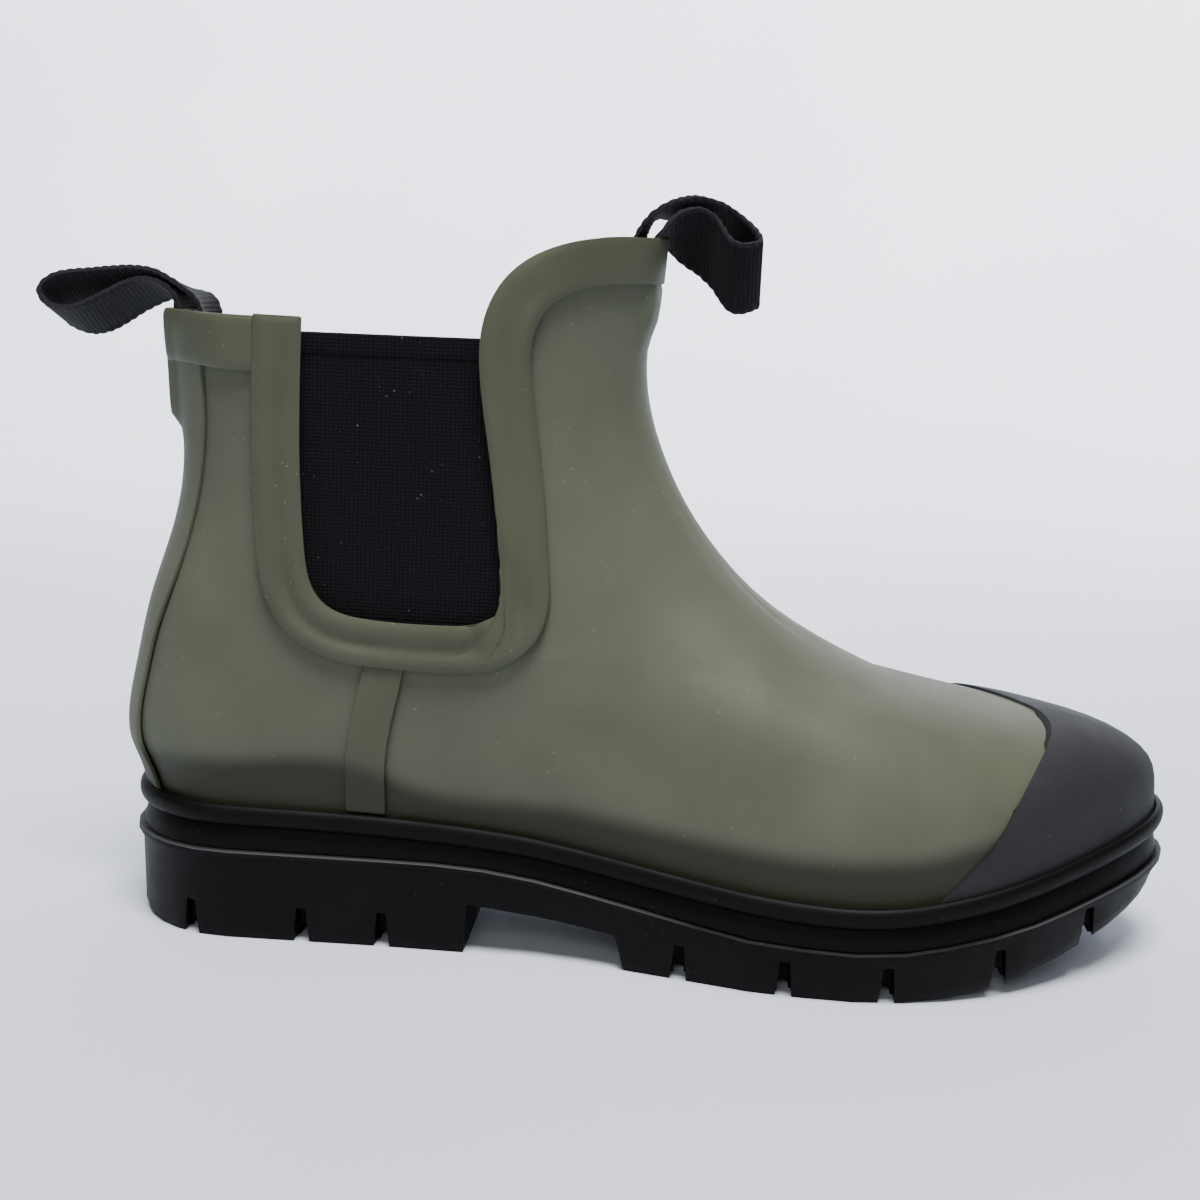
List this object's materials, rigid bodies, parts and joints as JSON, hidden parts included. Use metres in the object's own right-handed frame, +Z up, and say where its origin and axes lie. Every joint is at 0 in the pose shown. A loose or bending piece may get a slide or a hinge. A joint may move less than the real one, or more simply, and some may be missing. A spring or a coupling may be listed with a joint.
{
  "type": "rubber rain boot",
  "caption": "Ankle-high pull-on rubber rain boot with elastic side panels, webbing pull loops at the front and back of the collar, a toe overlay and a treaded heel and sole.",
  "frame": {"origin": "middle of the boot's footprint on the ground", "axes": "+X from heel to toe, +Y toward the inner side of the foot, +Z up"},
  "size_m": [0.3252, 0.1086, 0.208],
  "materials": {
    "olive_rubber": "matte",
    "cap_rubber": "matte",
    "sole_rubber": "matte",
    "elastic": "ribbed knit",
    "webbing": "ribbed weave",
    "lining": "matte",
    "footbed_foam": "matte",
    "fibre_board": "matte",
    "shank_steel": "satin",
    "cork": "matte"
  },
  "bodies": {
    "boot": {"outsole": "sole_rubber", "heel_filler": "cork", "midsole": "sole_rubber", "shank": "shank_steel", "insole_board": "fibre_board", "footbed": "footbed_foam", "foxing_bead": "sole_rubber", "vamp": "olive_rubber", "outer_quarter": "olive_rubber", "inner_quarter": "olive_rubber", "outer_quarter_lining": "lining", "inner_quarter_lining": "lining", "vamp_lining": "lining", "heel_counter": "fibre_board", "outer_gore": "elastic", "inner_gore": "elastic", "outer_gore_hem": "elastic", "inner_gore_hem": "elastic", "outer_gore_frame": "olive_rubber", "inner_gore_frame": "olive_rubber", "rear_collar_band": "olive_rubber", "back_strip": "olive_rubber", "outer_side_strip": "olive_rubber", "inner_side_strip": "olive_rubber", "toe_cap": "cap_rubber", "rear_loop_outer_end": "webbing", "rear_loop_inner_end": "webbing", "front_loop_outer_end": "webbing", "front_loop_inner_end": "webbing"},
    "rear_loop": {"rear_pull_loop": "webbing"},
    "front_loop": {"front_pull_loop": "webbing"}
  },
  "joints": [
    {"name": "rear_loop_flex", "type": "hinge", "parent": "boot", "child": "rear_loop", "pos_m": [-0.12278, 0.00062, 0.1756], "axis": [0, 1, 0], "range_deg": [-10, 60], "stiffness_Nm_per_rad": 0.02},
    {"name": "front_loop_flex", "type": "hinge", "parent": "boot", "child": "front_loop", "pos_m": [0.00692, 0.00062, 0.199], "axis": [0, 1, 0], "range_deg": [-50, 3], "stiffness_Nm_per_rad": 0.02}
  ]
}
